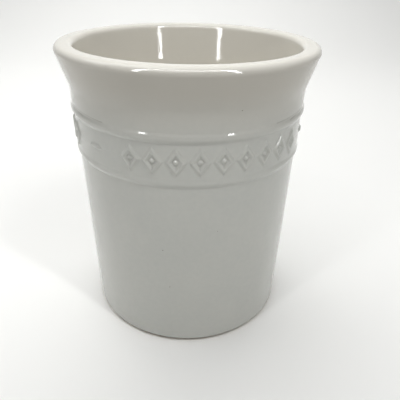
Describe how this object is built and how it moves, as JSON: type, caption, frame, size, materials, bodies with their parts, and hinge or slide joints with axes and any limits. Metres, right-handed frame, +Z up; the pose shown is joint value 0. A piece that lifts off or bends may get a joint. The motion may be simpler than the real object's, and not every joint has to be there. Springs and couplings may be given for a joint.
{
  "type": "brush holder pot",
  "caption": "Open stoneware pot with a flared rounded rim, tapered wall, raised ridges and a band of raised geometric ornament; it stands on a foot ring and holds brushes.",
  "frame": {"origin": "centre of the foot ring's resting face, on the pot's axis", "axes": "+Z up along the pot's axis, -Y the front; one group of raised motifs is centred 15 degrees from it towards +X"},
  "size_m": [0.1282, 0.1282, 0.15],
  "materials": {
    "stoneware": "matt unglazed fired clay, bare on the foot ring",
    "outside_glaze": "glossy pale grey-white glaze",
    "liner_glaze": "glossy pale warm-white glaze"
  },
  "bodies": {
    "root": {"stoneware_body": "stoneware", "exterior_glaze": "outside_glaze", "interior_glaze": "liner_glaze", "underside_glaze": "outside_glaze"}
  },
  "joints": []
}
